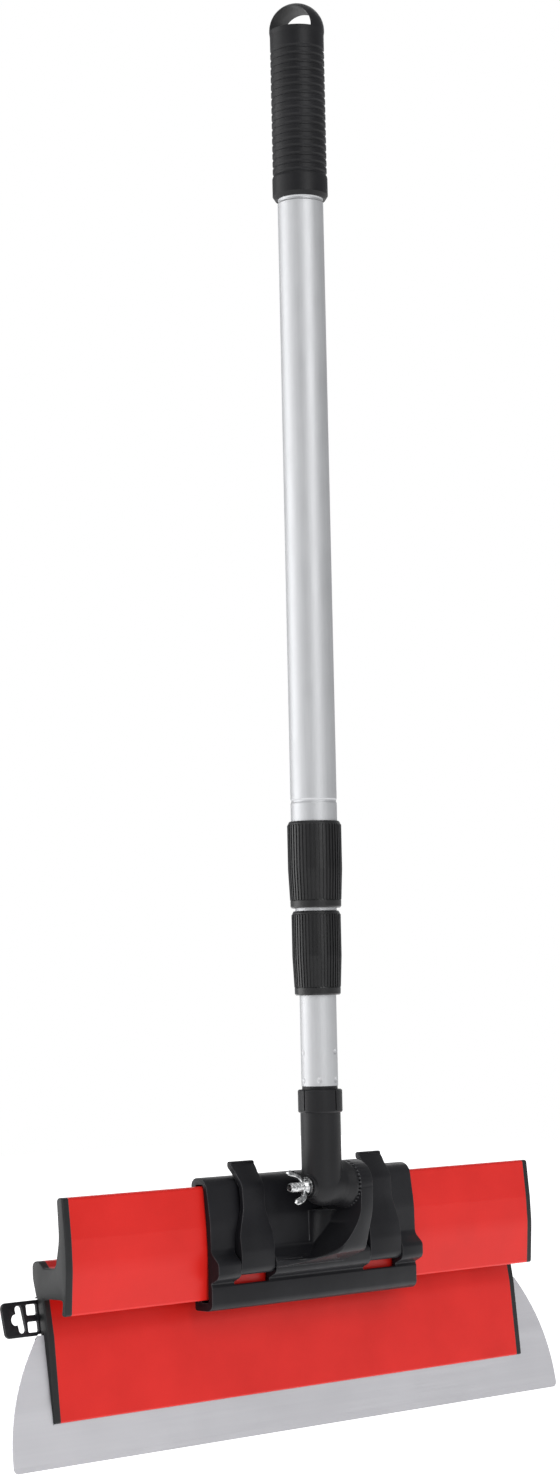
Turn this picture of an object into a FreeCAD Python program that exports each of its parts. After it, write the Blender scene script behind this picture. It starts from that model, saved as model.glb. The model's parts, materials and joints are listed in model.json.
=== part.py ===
"""Skimming blade on a telescopic pole: a wide stainless blade in a red extruded handle,
a clip-on pole adapter with two lever latches, a tilting elbow and a three-section pole.

Row frame in millimetres: +Z up along the pole, +X to the right along the blade, -Y to the
front, where the adapter and the pole are. The origin is the middle of the blade's edge.
"""
import FreeCAD, Part
import math
import os

V = FreeCAD.Vector

# ---- blade -------------------------------------------------------------------------------
BLADE_WIDTH = 400.0          # along the edge
BLADE_THICK = 0.5
BLADE_HEIGHT = 56.0          # from the edge to the top of the strip inside the handle
BLADE_LEAN = 8.65            # degrees that the blade plane leans back from the pole
BLADE_CORNER = 3.0           # radius of the two lower corners
EAR_SWEEP = 23.5             # how far each end curves in from the edge to the cap's top
EAR_HEIGHT = 64.0            # height over which it curves in

# ---- handle extrusion, a section in Y and Z ---------------------------------------------
BLADE_OVERHANG = 27.4        # blade beyond each end cap
CAP_THICK = 4.0
WALL = 1.7
PLATE_TOP = 130.5            # top of the palm plate
CREASE_HEIGHT = 110.0        # where the plate's two front facets meet
LIP_BOTTOM = 73.0            # lower end of the plate's lip
UNDERSIDE = 80.8             # underside of the finger hook
CHANNEL_FLOOR = 95.6         # bottom of the finger channel
HOOK_TOP = 98.9
PLATE_FRONT = -8.9           # foremost face of the plate
PLATE_THICK = 5.0
PLATE_SETBACK = 2.8          # of the plate's top edge behind its foremost face
PLATE_TAPER = 0.5            # how much thinner the plate is at its top
LIP_THICK = 3.1
LIP_SETBACK = 1.4            # of the lip's rear face at its lower end
HOOK_REAR = 17.7             # rearmost face of the finger hook
HOOK_TIP = 5.6               # thickness of the hook's upstanding tip
WEDGE_TOP = 62.0             # shoulder at the rear of the wedge
WEDGE_BOTTOM = 20.7
WEDGE_FRONT = 3.5            # from the blade plane to the wedge's front at its top
WEDGE_REAR = 7.6             # from the blade plane to the wedge's rear at its top
WEDGE_TOE = 1.4              # from the blade plane to the wedge's front at its bottom
WEDGE_HEEL = 3.8             # from the blade plane to the wedge's rear at its bottom
NECK_THICK = 5.0             # web that joins the wedge to the hook
STRIP_THICK = 1.5            # strip that wedges the blade in its slot
SLOT_PLAY = 0.1              # each side of the blade at the slot's mouth

# ---- hang tab on the left cap ------------------------------------------------------------
TAB_REACH = 22.8             # beyond the cap
TAB_HEIGHT = 17.4
TAB_THICK = 1.6
TAB_FOOT = 12.0              # length of the foot that is fixed behind the neck
TAB_WINDOW_WIDTH = 6.6
TAB_WINDOW_HEIGHT = 5.2
TAB_WINDOW_PITCH = 8.4
TAB_SLOT_HEIGHT = 13.4
TAB_SLOT_WIDTH = 4.4
TAB_NOTCH_RADIUS = 2.7

# ---- pole adapter ------------------------------------------------------------------------
ADAPTER_X = -3.4             # middle of the adapter along the handle
ADAPTER_WIDTH = 151.6
SHELL_WALL = 2.8
SHELL_GAP = 0.4              # clearance from the handle all round
BARREL_HEIGHT = 88.6         # height of the latch pins
BARREL_RADIUS = 4.3          # round front of the shell over the latch pins
BAR_BOTTOM = 67.4            # underside of the shell's lower bar
BAR_TOP = 81.4               # groove between the bar and the pin barrel
BAR_REACH = 3.5              # how far the bar stands in front of the handle
REAR_HOOK_DEPTH = 6.0        # how far the shell's top hook reaches down behind the plate
LIP_HOOK_DEPTH = 4.8         # thickness of the tip that hooks up behind the lip

# ---- latches -----------------------------------------------------------------------------
LATCH_SPACING = 94.8         # between the middles of the two levers
LATCH_FOOT_WIDTH = 23.6
LATCH_TAB_WIDTH = 16.8
LATCH_NECK_WIDTH = 15.6      # just under the tab
LATCH_RISE = 7.3             # thumb tab above the shell's top
LATCH_THICK = 2.9
LATCH_SIDE_GAP = 0.6
LATCH_SHOULDER = 16.0        # above the pin, where a lever starts to narrow
LATCH_NECK = 29.0            # above the pin, where a lever is narrowest
WINDOW_HEIGHT = 4.6          # open slot under each lever
PIN_RADIUS = 2.0
PIN_PLAY = 0.05              # running clearance of levers, bolt and guides
PIN_OVERHANG = 5.0           # length of pin held in the shell at each side of a lever
ROTOR_RADIUS = 4.0           # round foot of a lever about its pin

# ---- elbow, bolt and wing nut ------------------------------------------------------------
POLE_X = -14.4
POLE_Y = -28.0
PIVOT_HEIGHT = 128.0
ELBOW_WALL = 0.9             # elbow beyond the inner tube's radius
JOINT_FLANGE = 1.8           # toothed discs of the tilting joint beyond the elbow
JOINT_X = 1.3                # plane between the two discs
JOINT_GAP = 0.3
BRANCH_FLARE = 8.0           # length over which the elbow's branch widens to its disc
TOOTH_COUNT = 36
TOOTH_DEPTH = 0.8
EAR_THICK = 9.6
GUSSET_RADIUS = 25.6         # sweep from the lug down to the shelf over the latch pins
SHELF_HEIGHT = 1.8           # shelf above the latch pins
BOWL_RADIUS = 11.0           # hollow corner between the shell and the lug
SOCKET_LENGTH = 49.7         # from the pivot to the socket's mouth
SOCKET_RIM_HEIGHT = 11.9
SOCKET_RIM_WALL = 2.0        # rim beyond the inner tube's radius
RIM_GROOVE = 0.8             # width of the four grooves down the rim
BOSS_RADIUS = 6.2
BOLT_RADIUS = 2.5
BOLT_HEAD_RADIUS = 5.0
BOLT_HEAD_THICK = 3.2
BOLT_END_X = -38.2
WASHER_RADIUS = 5.0
WASHER_THICK = 0.5
NUT_GAP = 0.1                # nut to washer
NUT_HUB_RADIUS = 4.4
NUT_HUB_LENGTH = 3.4
NUT_WING_SPAN = 20.0
NUT_WING_FLARE = 8.0         # how far the wing tips lean out past the hub
NUT_WING_WIDTH = 3.8         # of a wing at its tip
NUT_WING_THICK = 2.2
NUT_TURN = -21.5             # degrees that the wings are turned from upright

# ---- telescopic pole ---------------------------------------------------------------------
POLE_TOP = 757.9
GRIP_LENGTH = 107.5
GRIP_WALL = 2.6
GRIP_CUFF = 12.5             # smooth length below the grip's grooves
GRIP_NECK = 8.0              # smooth length above them, up to the dome's middle
GRIP_GROOVE = 0.45
GRIP_PITCH = 4.2
LOOP_BAND = 3.2              # wall of the hanging loop
LOOP_FLOOR_DROP = 0.5        # flat floor of the hanging loop below the dome's middle
LOOP_TURN = 66.0             # degrees that the loop's axis is turned from +Y towards +X
OUTER_RADIUS = 12.2
OUTER_WALL = 1.0
MIDDLE_WALL = 1.0
INNER_WALL = 1.2
TUBE_GAP = 0.3               # between one tube and the next
BEAD_HEIGHT = 10.6           # rolled groove above the upper collar
BEAD_DEPTH = 0.35
BEAD_HALF = 1.2              # half the width of a rolled groove
UPPER_COLLAR_TOP = 317.6
UPPER_COLLAR_HEIGHT = 45.4
LOWER_COLLAR_TOP = 270.6
LOWER_COLLAR_HEIGHT = 43.9
COLLAR_WALL = 1.3
COLLAR_LIP = 4.4             # smooth band at the collar's lower end
COLLAR_TAPER = 0.75          # how much a collar draws in over its lower third
COLLET_TUBE = 16.0           # from the smooth band up to the end of the tube
COLLET_HOLD = 13.0           # length of collet around that tube
COLLAR_RIBS = 44
RIB_DEPTH = 0.45
COLLET_SKIRT = 0.5           # collet wall over the tube
COLLET_GAP = 0.25            # collet to collar
COLLET_SLIT = 1.2
GUIDE_HEIGHT = 18.0          # plastic guide at a tube's upper end
GUIDE_FLANGE = 3.0
GRIP_CAP = 5.0               # solid grip between the tube's end and the loop's floor
MIDDLE_DROP = 4.6            # top of the middle tube below the outer tube's top
INNER_DROP = 97.9            # top of the inner tube below the pole's top
TIP_FLANGE = 2.3             # ring that shows between the tube and the socket
TIP_INSIDE = 26.0            # length of the plug inside the tube
TIP_SPIGOT = 28.0            # length of the plug inside the socket
SPIGOT_STEP = 1.7            # plug in the socket inside the inner tube's radius
PUNCH_RADIUS = 1.6
PUNCH_DEPTH = 0.45

# ---- values worked out from the sizes above ----------------------------------------------
LEAN = math.radians(BLADE_LEAN)
HANDLE_END = BLADE_WIDTH / 2 - BLADE_OVERHANG
PROFILE_HALF = HANDLE_END - CAP_THICK
MIDDLE_RADIUS = OUTER_RADIUS - OUTER_WALL - TUBE_GAP
INNER_RADIUS = MIDDLE_RADIUS - MIDDLE_WALL - TUBE_GAP
SPIGOT_RADIUS = INNER_RADIUS - SPIGOT_STEP
ELBOW_RADIUS = INNER_RADIUS + ELBOW_WALL
JOINT_RADIUS = ELBOW_RADIUS + JOINT_FLANGE
SOCKET_RIM_RADIUS = INNER_RADIUS + SOCKET_RIM_WALL
SOCKET_TOP = PIVOT_HEIGHT + SOCKET_LENGTH
GRIP_RADIUS = OUTER_RADIUS + GRIP_WALL
GRIP_BOTTOM = POLE_TOP - GRIP_LENGTH
INNER_TOP = POLE_TOP - INNER_DROP
PLATE_REAR = PLATE_FRONT + PLATE_THICK + 1.0
SHELL_INNER = PLATE_FRONT - SHELL_GAP
SHELL_FRONT = SHELL_INNER - SHELL_WALL
PIN_Y = PLATE_FRONT - SHELL_GAP - ROTOR_RADIUS
EAR_X = JOINT_X + JOINT_GAP / 2
ELBOW_SIDE = POLE_X - ELBOW_RADIUS
TUBE_END = SOCKET_TOP + 1.8
DOME_CENTRE = POLE_TOP - GRIP_RADIUS
LOOP_FLOOR = DOME_CENTRE - LOOP_FLOOR_DROP
OUTER_TOP = LOOP_FLOOR - GRIP_CAP
MIDDLE_TOP = OUTER_TOP - MIDDLE_DROP
SHELL_TOP = PLATE_TOP + 2 * SHELL_GAP + SHELL_WALL + 0.6
LATCH_TOP = SHELL_TOP + LATCH_RISE
LATCH_CENTRES = {
    "left": ADAPTER_X - LATCH_SPACING / 2,
    "right": ADAPTER_X + LATCH_SPACING / 2,
}


# ---- drawing helpers ---------------------------------------------------------------------
def in_yz(x):
    """Maps outline points (a, b) to Y and Z at a given X."""
    return lambda a, b: V(x, a, b)


def in_xz(y):
    """Maps outline points (a, b) to X and Z at a given Y."""
    return lambda a, b: V(a, y, b)


def in_xy(z):
    """Maps outline points (a, b) to X and Y at a given Z."""
    return lambda a, b: V(a, b, z)


def outline(corners, place):
    """Face inside a closed outline of (a, b, radius) corners joined by tangent arcs."""
    edges = []
    stops = []
    for index, (a, b, radius) in enumerate(corners):
        here = V(a, b, 0)
        last = V(*corners[index - 1][:2], 0)
        following = V(*corners[(index + 1) % len(corners)][:2], 0)
        if radius == 0:
            stops.append((here, None, here))
            continue
        back = (last - here).normalize()
        ahead = (following - here).normalize()
        half = back.getAngle(ahead) / 2
        inward = (back + ahead).normalize()
        cut = radius / math.tan(half)
        middle = here + inward * (radius / math.sin(half) - radius)
        stops.append((here + back * cut, middle, here + ahead * cut))
    for index, (start, middle, end) in enumerate(stops):
        if middle is not None:
            arc = Part.Arc(place(start.x, start.y), place(middle.x, middle.y), place(end.x, end.y))
            edges.append(arc.toShape())
        after = stops[(index + 1) % len(stops)][0]
        if (after - end).Length > 1e-6:
            edges.append(Part.LineSegment(place(end.x, end.y), place(after.x, after.y)).toShape())
    return Part.Face(Part.Wire(Part.__sortEdges__(edges)))


def along_x(corners, x_low, x_high):
    """Solid with a Y, Z outline that runs along X."""
    return outline(corners, in_yz(x_low)).extrude(V(x_high - x_low, 0, 0))


def along_y(corners, y_low, y_high):
    """Solid with an X, Z outline that runs along Y."""
    return outline(corners, in_xz(y_low)).extrude(V(0, y_high - y_low, 0))


def along_z(corners, z_low, z_high):
    """Solid with an X, Y outline that runs along Z."""
    return outline(corners, in_xy(z_low)).extrude(V(0, 0, z_high - z_low))


def box(x_low, x_high, y_low, y_high, z_low, z_high):
    size = (x_high - x_low, y_high - y_low, z_high - z_low)
    return Part.makeBox(*size, V(x_low, y_low, z_low))


def rod_x(radius, x_low, x_high, y, z):
    return Part.makeCylinder(radius, x_high - x_low, V(x_low, y, z), V(1, 0, 0))


def rod_z(radius, z_low, z_high, x=POLE_X, y=POLE_Y):
    return Part.makeCylinder(radius, z_high - z_low, V(x, y, z_low), V(0, 0, 1))


def ring_z(outer, inner, z_low, z_high):
    return rod_z(outer, z_low, z_high).cut(rod_z(inner, z_low - 1, z_high + 1))


def turned_z(points):
    """Solid of revolution about the pole's axis from (radius, height) points."""
    corners = [V(POLE_X + radius, POLE_Y, height) for radius, height in points]
    face = Part.Face(Part.makePolygon(corners + corners[:1]))
    return face.revolve(V(POLE_X, POLE_Y, 0), V(0, 0, 1), 360)


def turned_x(points, y, z):
    """Solid of revolution about an X line through (y, z) from (x, radius) points."""
    corners = [V(x, y, z + radius) for x, radius in points]
    face = Part.Face(Part.makePolygon(corners + corners[:1]))
    return face.revolve(V(0, y, z), V(1, 0, 0), 360)


def leaned(shape):
    """Tips a shape that stands in the X, Z plane back to the blade's own plane."""
    shape.rotate(V(0, 0, 0), V(1, 0, 0), -BLADE_LEAN)
    return shape


def fused(shapes):
    return shapes[0].multiFuse(shapes[1:]).removeSplitter()


# ---- blade and handle --------------------------------------------------------------------
def from_blade(height, offset):
    """Y and Z of a point at a height, so far in front of (-) or behind (+) the blade."""
    return (height * math.tan(LEAN) + offset, height)


def handle_corners():
    """Outer section of the handle: palm plate, finger hook, neck and wedge."""
    neck_front = from_blade(UNDERSIDE, -WEDGE_FRONT + 0.6)[0]
    neck_rear = neck_front + NECK_THICK
    plate_top_front = PLATE_FRONT + PLATE_SETBACK
    plate_top_rear = plate_top_front + PLATE_THICK - PLATE_TAPER
    return [
        (plate_top_front, PLATE_TOP, 1.6),
        (plate_top_rear, PLATE_TOP, 2.0),
        (PLATE_REAR, CREASE_HEIGHT, 30.0),
        (PLATE_REAR + 3.0, CHANNEL_FLOOR, 3.5),
        (HOOK_REAR - HOOK_TIP - 3.3, CHANNEL_FLOOR, 2.5),
        (HOOK_REAR - HOOK_TIP, HOOK_TOP, 1.4),
        (HOOK_REAR, HOOK_TOP, 3.0),
        (HOOK_REAR, CHANNEL_FLOOR - 5.0, 20.0),
        (HOOK_REAR - 2.8, UNDERSIDE, 2.0),
        (neck_rear, UNDERSIDE, 0.8),
        (*from_blade(WEDGE_TOP, neck_rear - UNDERSIDE * math.tan(LEAN)), 0.8),
        (*from_blade(WEDGE_TOP, WEDGE_REAR), 1.8),
        (*from_blade(WEDGE_BOTTOM + 9.0, WEDGE_HEEL + 2.8), 12.0),
        (*from_blade(WEDGE_BOTTOM, WEDGE_HEEL), 1.6),
        (*from_blade(WEDGE_BOTTOM, -WEDGE_TOE), 0.9),
        (*from_blade(WEDGE_TOP, -WEDGE_FRONT), 40.0),
        (neck_front, UNDERSIDE, 0.8),
        (PLATE_FRONT + LIP_THICK + 0.4, UNDERSIDE, 1.5),
        (PLATE_FRONT + LIP_THICK + LIP_SETBACK, LIP_BOTTOM, 1.3),
        (PLATE_FRONT + 1.3, LIP_BOTTOM, 1.3),
        (PLATE_FRONT, CHANNEL_FLOOR, 60.0),
        (PLATE_FRONT + 0.7, CREASE_HEIGHT, 12.0),
    ]


def blade_slot(x_half):
    """Room for the blade and its strip, with a narrow mouth at the wedge's toe."""
    mouth = box(
        -x_half, x_half, -BLADE_THICK / 2 - SLOT_PLAY, BLADE_THICK / 2 + SLOT_PLAY,
        0, WEDGE_BOTTOM + 8.0,
    )
    room = box(
        -x_half, x_half, -BLADE_THICK / 2, BLADE_THICK / 2 + STRIP_THICK,
        WEDGE_BOTTOM + 6.0, BLADE_HEIGHT + 1.0,
    )
    return leaned(mouth.fuse(room))


def hook_chamber_corners(inset):
    """Hollow inside the finger hook's block, or a plug that is smaller by the inset."""
    return [
        (PLATE_FRONT + WALL + inset, UNDERSIDE + WALL + inset, 0.6),
        (HOOK_REAR - 2.8 - WALL - inset, UNDERSIDE + WALL + inset, 0.6),
        (HOOK_REAR - WALL - inset, CHANNEL_FLOOR - 5.0, 0.6),
        (HOOK_REAR - WALL - inset, CHANNEL_FLOOR - WALL - inset, 0.6),
        (PLATE_FRONT + WALL + inset, CHANNEL_FLOOR - WALL - inset, 0.6),
    ]


def wedge_chamber_corners(inset):
    """Hollow behind the blade slot, or a plug that is smaller by the inset."""
    slot_rear = BLADE_THICK / 2 + STRIP_THICK + WALL
    return [
        (*from_blade(WEDGE_BOTTOM + 14.0, slot_rear + inset), 0.4),
        (*from_blade(WEDGE_BOTTOM + 14.0, WEDGE_HEEL + 3.0 - WALL - inset), 0.4),
        (*from_blade(WEDGE_TOP - WALL - inset, WEDGE_REAR - WALL - inset), 0.8),
        (*from_blade(WEDGE_TOP - WALL - inset, slot_rear + inset), 0.4),
    ]


def make_profile():
    body = along_x(handle_corners(), -PROFILE_HALF, PROFILE_HALF)
    past = PROFILE_HALF + 1
    body = body.cut(along_x(hook_chamber_corners(0), -past, past))
    body = body.cut(along_x(wedge_chamber_corners(0), -past, past))
    return body.cut(blade_slot(past))


def make_end_cap(side):
    outer = side * (PROFILE_HALF + CAP_THICK)
    inner = side * PROFILE_HALF
    low, high = sorted((inner, outer))
    cap = along_x(handle_corners(), low, high)
    plug_end = inner - side * 8.0
    low, high = sorted((plug_end, inner))
    cap = fused([
        cap,
        along_x(hook_chamber_corners(0.15), low, high),
        along_x(wedge_chamber_corners(0.15), low, high),
    ])
    slot = box(
        -BLADE_WIDTH, BLADE_WIDTH, -BLADE_THICK / 2 - SLOT_PLAY, BLADE_THICK / 2 + SLOT_PLAY,
        0, BLADE_HEIGHT + 10.0,
    )
    return cap.cut(leaned(slot))


def make_blade():
    """Flat strip whose two ends curve in towards the caps."""
    half = BLADE_WIDTH / 2
    inside = PROFILE_HALF + CAP_THICK - 0.2
    right = [V(half - EAR_SWEEP * part ** 2.2, 0, EAR_HEIGHT * part) for part in
             (0.25, 0.5, 0.75, 1.0)]
    right.insert(0, V(half, 0, BLADE_CORNER))
    left = [V(-point.x, 0, point.z) for point in reversed(right)]
    turn = BLADE_CORNER * (1 - math.sqrt(0.5))
    ear_right = Part.BSplineCurve()
    ear_right.interpolate(right)
    ear_left = Part.BSplineCurve()
    ear_left.interpolate(left)
    shoulder = [V(right[-1].x, 0, EAR_HEIGHT), V(inside, 0, EAR_HEIGHT),
                V(inside, 0, BLADE_HEIGHT), V(-inside, 0, BLADE_HEIGHT),
                V(-inside, 0, EAR_HEIGHT), V(-right[-1].x, 0, EAR_HEIGHT)]
    edges = [ear_right.toShape()]
    edges += [Part.LineSegment(a, b).toShape() for a, b in zip(shoulder, shoulder[1:])]
    edges.append(ear_left.toShape())
    edges.append(Part.Arc(left[-1], V(-half + turn, 0, turn),
                          V(-half + BLADE_CORNER, 0, 0)).toShape())
    edges.append(Part.LineSegment(V(-half + BLADE_CORNER, 0, 0),
                                  V(half - BLADE_CORNER, 0, 0)).toShape())
    edges.append(Part.Arc(V(half - BLADE_CORNER, 0, 0), V(half - turn, 0, turn),
                          right[0]).toShape())
    face = Part.Face(Part.Wire(Part.__sortEdges__(edges)))
    strip = face.extrude(V(0, BLADE_THICK, 0))
    strip.translate(V(0, -BLADE_THICK / 2, 0))
    return leaned(strip)


def make_blade_strip():
    """Plastic strip pushed in behind the blade."""
    return leaned(box(
        -PROFILE_HALF + 1, PROFILE_HALF - 1, BLADE_THICK / 2, BLADE_THICK / 2 + STRIP_THICK,
        WEDGE_BOTTOM + 8.0, BLADE_HEIGHT - 1.0,
    ))


def make_hang_tab():
    """Flat tab against the rear of the neck, with a hanging slot and two windows."""
    front = (NECK_THICK + 0.6 - WEDGE_FRONT) * math.cos(LEAN)
    rear = front + TAB_THICK
    end = -HANDLE_END
    top = (UNDERSIDE - 0.2) / math.cos(LEAN)
    bottom = top - TAB_HEIGHT
    shoulder = (WEDGE_TOP + 1.5 + rear * math.sin(LEAN)) / math.cos(LEAN)
    tip = end - TAB_REACH
    tab = along_y(
        [(end + TAB_FOOT, top, 0), (end + TAB_FOOT, shoulder, 0), (end - 1.0, shoulder, 0),
         (end - 2.0, bottom, 0), (tip + 1.4, bottom, 3.0), (tip, top, 3.0)],
        front, rear,
    )
    middle = (top + bottom) / 2
    half = TAB_SLOT_HEIGHT / 2
    slot_left = tip + 8.2
    slant = 1.8
    slot = along_y(
        [(slot_left, middle + half, 1.8), (slot_left + TAB_SLOT_WIDTH, middle + half, 1.8),
         (slot_left + TAB_SLOT_WIDTH + slant, middle - half, 1.8),
         (slot_left + slant, middle - half, 1.8)],
        front - 1, rear + 1,
    )
    notch = Part.makeCylinder(
        TAB_NOTCH_RADIUS, TAB_THICK + 2, V(slot_left + 0.2, front - 1, middle), V(0, 1, 0))
    tab = tab.cut(slot).cut(notch)
    window_right = end - 0.6
    window_left = window_right - TAB_WINDOW_WIDTH
    for centre in (middle + TAB_WINDOW_PITCH / 2, middle - TAB_WINDOW_PITCH / 2):
        low = centre - TAB_WINDOW_HEIGHT / 2
        high = centre + TAB_WINDOW_HEIGHT / 2
        window = along_y(
            [(window_left, low, 0.8), (window_right, low, 0.8),
             (window_right, high, 0.8), (window_left, high, 0.8)],
            front - 1, rear + 1,
        )
        tab = tab.cut(window)
    return leaned(tab)


# ---- pole adapter ------------------------------------------------------------------------
def shell_corners():
    """C-shaped section that wraps the palm plate from above and below."""
    rear_inner = PLATE_FRONT + PLATE_SETBACK + PLATE_THICK - PLATE_TAPER + SHELL_GAP
    top_inner = PLATE_TOP + 2 * SHELL_GAP
    floor_inner = LIP_BOTTOM - SHELL_GAP - 1.0
    tip_inner = PLATE_FRONT + LIP_THICK + LIP_SETBACK + SHELL_GAP
    barrel_front = PIN_Y - BARREL_RADIUS
    bar_front = PLATE_FRONT - BAR_REACH
    return [
        (rear_inner + SHELL_WALL + 0.6, PLATE_TOP - REAR_HOOK_DEPTH, 0.8),
        (rear_inner + SHELL_WALL + 0.6, SHELL_TOP, 4.0),
        (PLATE_FRONT + 0.3, SHELL_TOP, 6.5),
        (SHELL_FRONT + 0.3, CREASE_HEIGHT + 2.0, 40.0),
        (SHELL_FRONT, BARREL_HEIGHT + 8.2, 5.0),
        (barrel_front, BARREL_HEIGHT + BARREL_RADIUS - 1.2, 3.6),
        (barrel_front, BARREL_HEIGHT - BARREL_RADIUS, 3.6),
        (bar_front + 0.8, BAR_TOP, 0.8),
        (bar_front, BAR_TOP - 2.0, 1.0),
        (bar_front, BAR_BOTTOM, 4.0),
        (tip_inner + LIP_HOOK_DEPTH, BAR_BOTTOM, 1.6),
        (tip_inner + LIP_HOOK_DEPTH, LIP_BOTTOM + 3.0, 1.0),
        (tip_inner, LIP_BOTTOM + 3.0, 1.0),
        (tip_inner, floor_inner, 0.8),
        (SHELL_INNER, floor_inner, 0.8),
        (SHELL_INNER, CHANNEL_FLOOR + 2.0, 40.0),
        (SHELL_INNER + 0.7, CREASE_HEIGHT, 12.0),
        (PLATE_FRONT + PLATE_SETBACK - SHELL_GAP, top_inner, 1.2),
        (rear_inner, top_inner, 1.2),
        (rear_inner, PLATE_TOP - REAR_HOOK_DEPTH, 0.6),
    ]


def lug_side_corners():
    """Side view of the lug under its disc: its front edge and its sloping underside."""
    front = POLE_Y - JOINT_RADIUS
    return [
        (SHELL_INNER, PIVOT_HEIGHT - 9.0, 0),
        (POLE_Y + JOINT_RADIUS - 1.0, PIVOT_HEIGHT, 4.0),
        (POLE_Y, PIVOT_HEIGHT + 4.0, 0),
        (front, PIVOT_HEIGHT - 1.0, 2.0),
        (front + 0.4, PIVOT_HEIGHT - 14.0, 30.0),
        (front + 6.4, BARREL_HEIGHT + 4.6, 5.0),
        (PIN_Y - BARREL_RADIUS, BARREL_HEIGHT - 1.6, 2.0),
        (SHELL_INNER, BARREL_HEIGHT - 1.6, 0),
    ]


def make_ear():
    """Upright lug that carries the fixed disc of the tilting joint."""
    low = EAR_X + TOOTH_DEPTH
    high = EAR_X + EAR_THICK
    disc = rod_x(JOINT_RADIUS, low, high, POLE_Y, PIVOT_HEIGHT)
    return along_x(lug_side_corners(), low, high).fuse(disc)


def make_gusset():
    """Sweep from the lug's left edge down to the shelf over the latch pins."""
    right = EAR_X + TOOTH_DEPTH + 0.5
    left = right - 0.5 - GUSSET_RADIUS
    far_left = left - 16.0
    shelf = BARREL_HEIGHT + SHELF_HEIGHT
    front = POLE_Y - JOINT_RADIUS
    barrel_front = PIN_Y - BARREL_RADIUS
    sweep = Part.makeCylinder(
        GUSSET_RADIUS, 60, V(left, front - 10, shelf + GUSSET_RADIUS), V(0, 1, 0))
    over_shelf = box(far_left - 1, left, front - 1, SHELL_INNER + 1, shelf, shelf + 50)
    from_side = along_x(lug_side_corners(), far_left, right)
    from_above = along_z(
        [(right, front, 0), (right - 9.5, front + 6.0, 14.0), (left, barrel_front - 3.7, 14.0),
         (far_left, barrel_front, 0), (far_left, SHELL_INNER, 0), (right, SHELL_INNER, 0)],
        BARREL_HEIGHT - 2.0, shelf + GUSSET_RADIUS,
    )
    return from_side.common(from_above).cut([sweep, over_shelf])


def make_bowl():
    """Hollow corner that blends the shell's front into the lug's left side."""
    right = EAR_X + TOOTH_DEPTH + 0.5
    left = right - 0.5 - BOWL_RADIUS
    front = SHELL_FRONT - BOWL_RADIUS
    low = BARREL_HEIGHT
    high = PIVOT_HEIGHT - JOINT_RADIUS - 1.5
    corner = box(left, right, front, SHELL_INNER, low, high)
    return corner.cut(rod_z(BOWL_RADIUS, low - 1, high + 1, left, front))


def joint_teeth(x_root, x_tip):
    """Ring of radial teeth on a disc of the tilting joint."""
    low, high = sorted((x_root, x_tip))
    ring = rod_x(JOINT_RADIUS, low, high, POLE_Y, PIVOT_HEIGHT)
    ring = ring.cut(rod_x(JOINT_RADIUS - 4.0, low - 1, high + 1, POLE_Y, PIVOT_HEIGHT))
    pitch = 360 / TOOTH_COUNT
    gap = 2 * math.pi * JOINT_RADIUS / TOOTH_COUNT / 2
    gaps = []
    for index in range(TOOTH_COUNT):
        bar = box(low - 1, high + 1, POLE_Y - gap / 2, POLE_Y + gap / 2,
                  PIVOT_HEIGHT + JOINT_RADIUS - 5.0, PIVOT_HEIGHT + JOINT_RADIUS + 1.0)
        bar.rotate(V(0, POLE_Y, PIVOT_HEIGHT), V(1, 0, 0), index * pitch)
        gaps.append(bar)
    return ring.cut(gaps)


def make_adapter_shell():
    left = ADAPTER_X - ADAPTER_WIDTH / 2
    right = ADAPTER_X + ADAPTER_WIDTH / 2
    shell = along_x(shell_corners(), left, right)
    face_x = EAR_X + TOOTH_DEPTH
    teeth = joint_teeth(EAR_X, face_x)
    lug = make_ear().fuse([make_gusset(), make_bowl(), teeth])
    behind = box(left, right, SHELL_INNER, 60, 0, 200)
    shell = shell.fuse(lug.cut(behind)).removeSplitter()
    shell = shell.cut(rod_x(BOLT_RADIUS + 0.1, EAR_X - 1, EAR_X + EAR_THICK + 1,
                            POLE_Y, PIVOT_HEIGHT))
    half = LATCH_FOOT_WIDTH / 2 + LATCH_SIDE_GAP
    window_bottom = BARREL_HEIGHT - ROTOR_RADIUS - WINDOW_HEIGHT
    for middle in LATCH_CENTRES.values():
        rotor_room = box(
            middle - half, middle + half, PIN_Y - 30, SHELL_INNER + 0.5,
            window_bottom, BARREL_HEIGHT + ROTOR_RADIUS + 0.7,
        )
        lever_room = box(
            middle - half, middle + half, PIN_Y - 30, SHELL_FRONT,
            window_bottom, BARREL_HEIGHT + 13.0,
        )
        reach = half + PIN_OVERHANG
        pin_hole = rod_x(PIN_RADIUS, middle - reach, middle + reach, PIN_Y, BARREL_HEIGHT)
        shell = shell.cut([rotor_room, lever_room, pin_hole])
    return shell


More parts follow.
